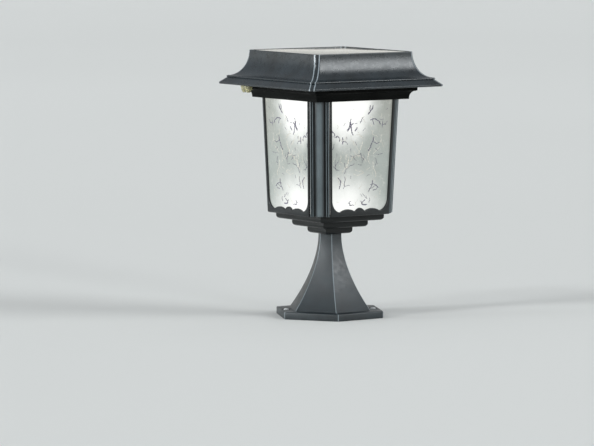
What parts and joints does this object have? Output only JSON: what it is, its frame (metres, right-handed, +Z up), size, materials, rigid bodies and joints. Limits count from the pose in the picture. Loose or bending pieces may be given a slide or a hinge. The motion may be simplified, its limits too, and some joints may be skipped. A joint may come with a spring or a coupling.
{
  "type": "solar garden light",
  "caption": "Square lantern with crackle windows and a lift-off solar roof, on a flared hexagonal pedestal.",
  "frame": {"origin": "centre of the underside of the hexagonal foot", "axes": "+Z up; +X and +Y square to the lantern's windows; the foot has flats facing -Y and +Y"},
  "size_m": [0.2244, 0.2244, 0.366],
  "materials": {
    "anthracite": "moulded, fine hammered grain, satin",
    "dark_plastic": "moulded, satin",
    "crackle_pane": "frosted crackle",
    "reflector": "smooth white",
    "white_plastic": "moulded, satin",
    "led_white": "white solder mask on aluminium",
    "solar_glass": "clear, low-iron, glossy",
    "solar_cell": "dark blue cells with silver fingers",
    "rubber": "matt",
    "steel": "zinc-plated, bright",
    "nickel": "nickel-plated spring leaf",
    "circuit": "green solder mask",
    "battery_wrap": "shrink film",
    "led_yellow": "phosphor gel",
    "clear_rubber": "clear soft vinyl, slightly yellow",
    "switch_black": "gloss black",
    "lead_red": "insulation",
    "lead_white": "insulation"
  },
  "bodies": {
    "lantern": {"pedestal": "anthracite", "ground_screw_1": "steel", "ground_screw_2": "steel", "coupling_bolt": "steel", "coupling_washer": "steel", "coupling_nut": "steel", "stepped_base": "anthracite", "base_screw_1": "steel", "base_screw_2": "steel", "base_screw_3": "steel", "base_screw_4": "steel", "lantern_frame": "anthracite", "window_pane_front": "crackle_pane", "window_pane_right": "crackle_pane", "window_pane_back": "crackle_pane", "window_pane_left": "crackle_pane", "pane_retainer": "white_plastic", "floor_reflector": "reflector", "collar": "dark_plastic", "cap_seal": "rubber"},
    "solar_cap": {"roof_shell": "anthracite", "panel_seal": "rubber", "solar_cells": "solar_cell", "solar_glass": "solar_glass", "roof_base": "dark_plastic", "plate_screw_1": "steel", "plate_screw_2": "steel", "plate_screw_3": "steel", "plate_screw_4": "steel", "battery_box": "dark_plastic", "battery_cell_1": "battery_wrap", "battery_cell_2": "battery_wrap", "battery_contact_left": "nickel", "battery_contact_right": "nickel", "door_pin": "steel", "circuit_board": "circuit", "board_screw_1": "steel", "board_screw_2": "steel", "led_board": "led_white", "led_emitter": "led_yellow", "led_diffuser": "white_plastic", "switch_housing": "switch_black", "switch_boot": "clear_rubber", "panel_lead": "lead_red", "battery_lead": "lead_red", "led_lead": "lead_white", "switch_lead": "lead_white"},
    "battery_door": {"battery_door": "dark_plastic"},
    "switch_rocker": {"switch_rocker": "switch_black"}
  },
  "joints": [
    {"name": "cap_lift", "type": "slide", "parent": "lantern", "child": "solar_cap", "axis": [0, 0, 1], "range_m": [0, 0.08]},
    {"name": "battery_door_hinge", "type": "hinge", "parent": "solar_cap", "child": "battery_door", "pos_m": [0, 0.0622, 0.3207], "axis": [1, 0, 0], "range_deg": [0, 90]},
    {"name": "switch_rock", "type": "hinge", "parent": "solar_cap", "child": "switch_rocker", "pos_m": [-0.097, 0.062, 0.3172], "axis": [1, 0, 0], "range_deg": [0, 24]}
  ]
}
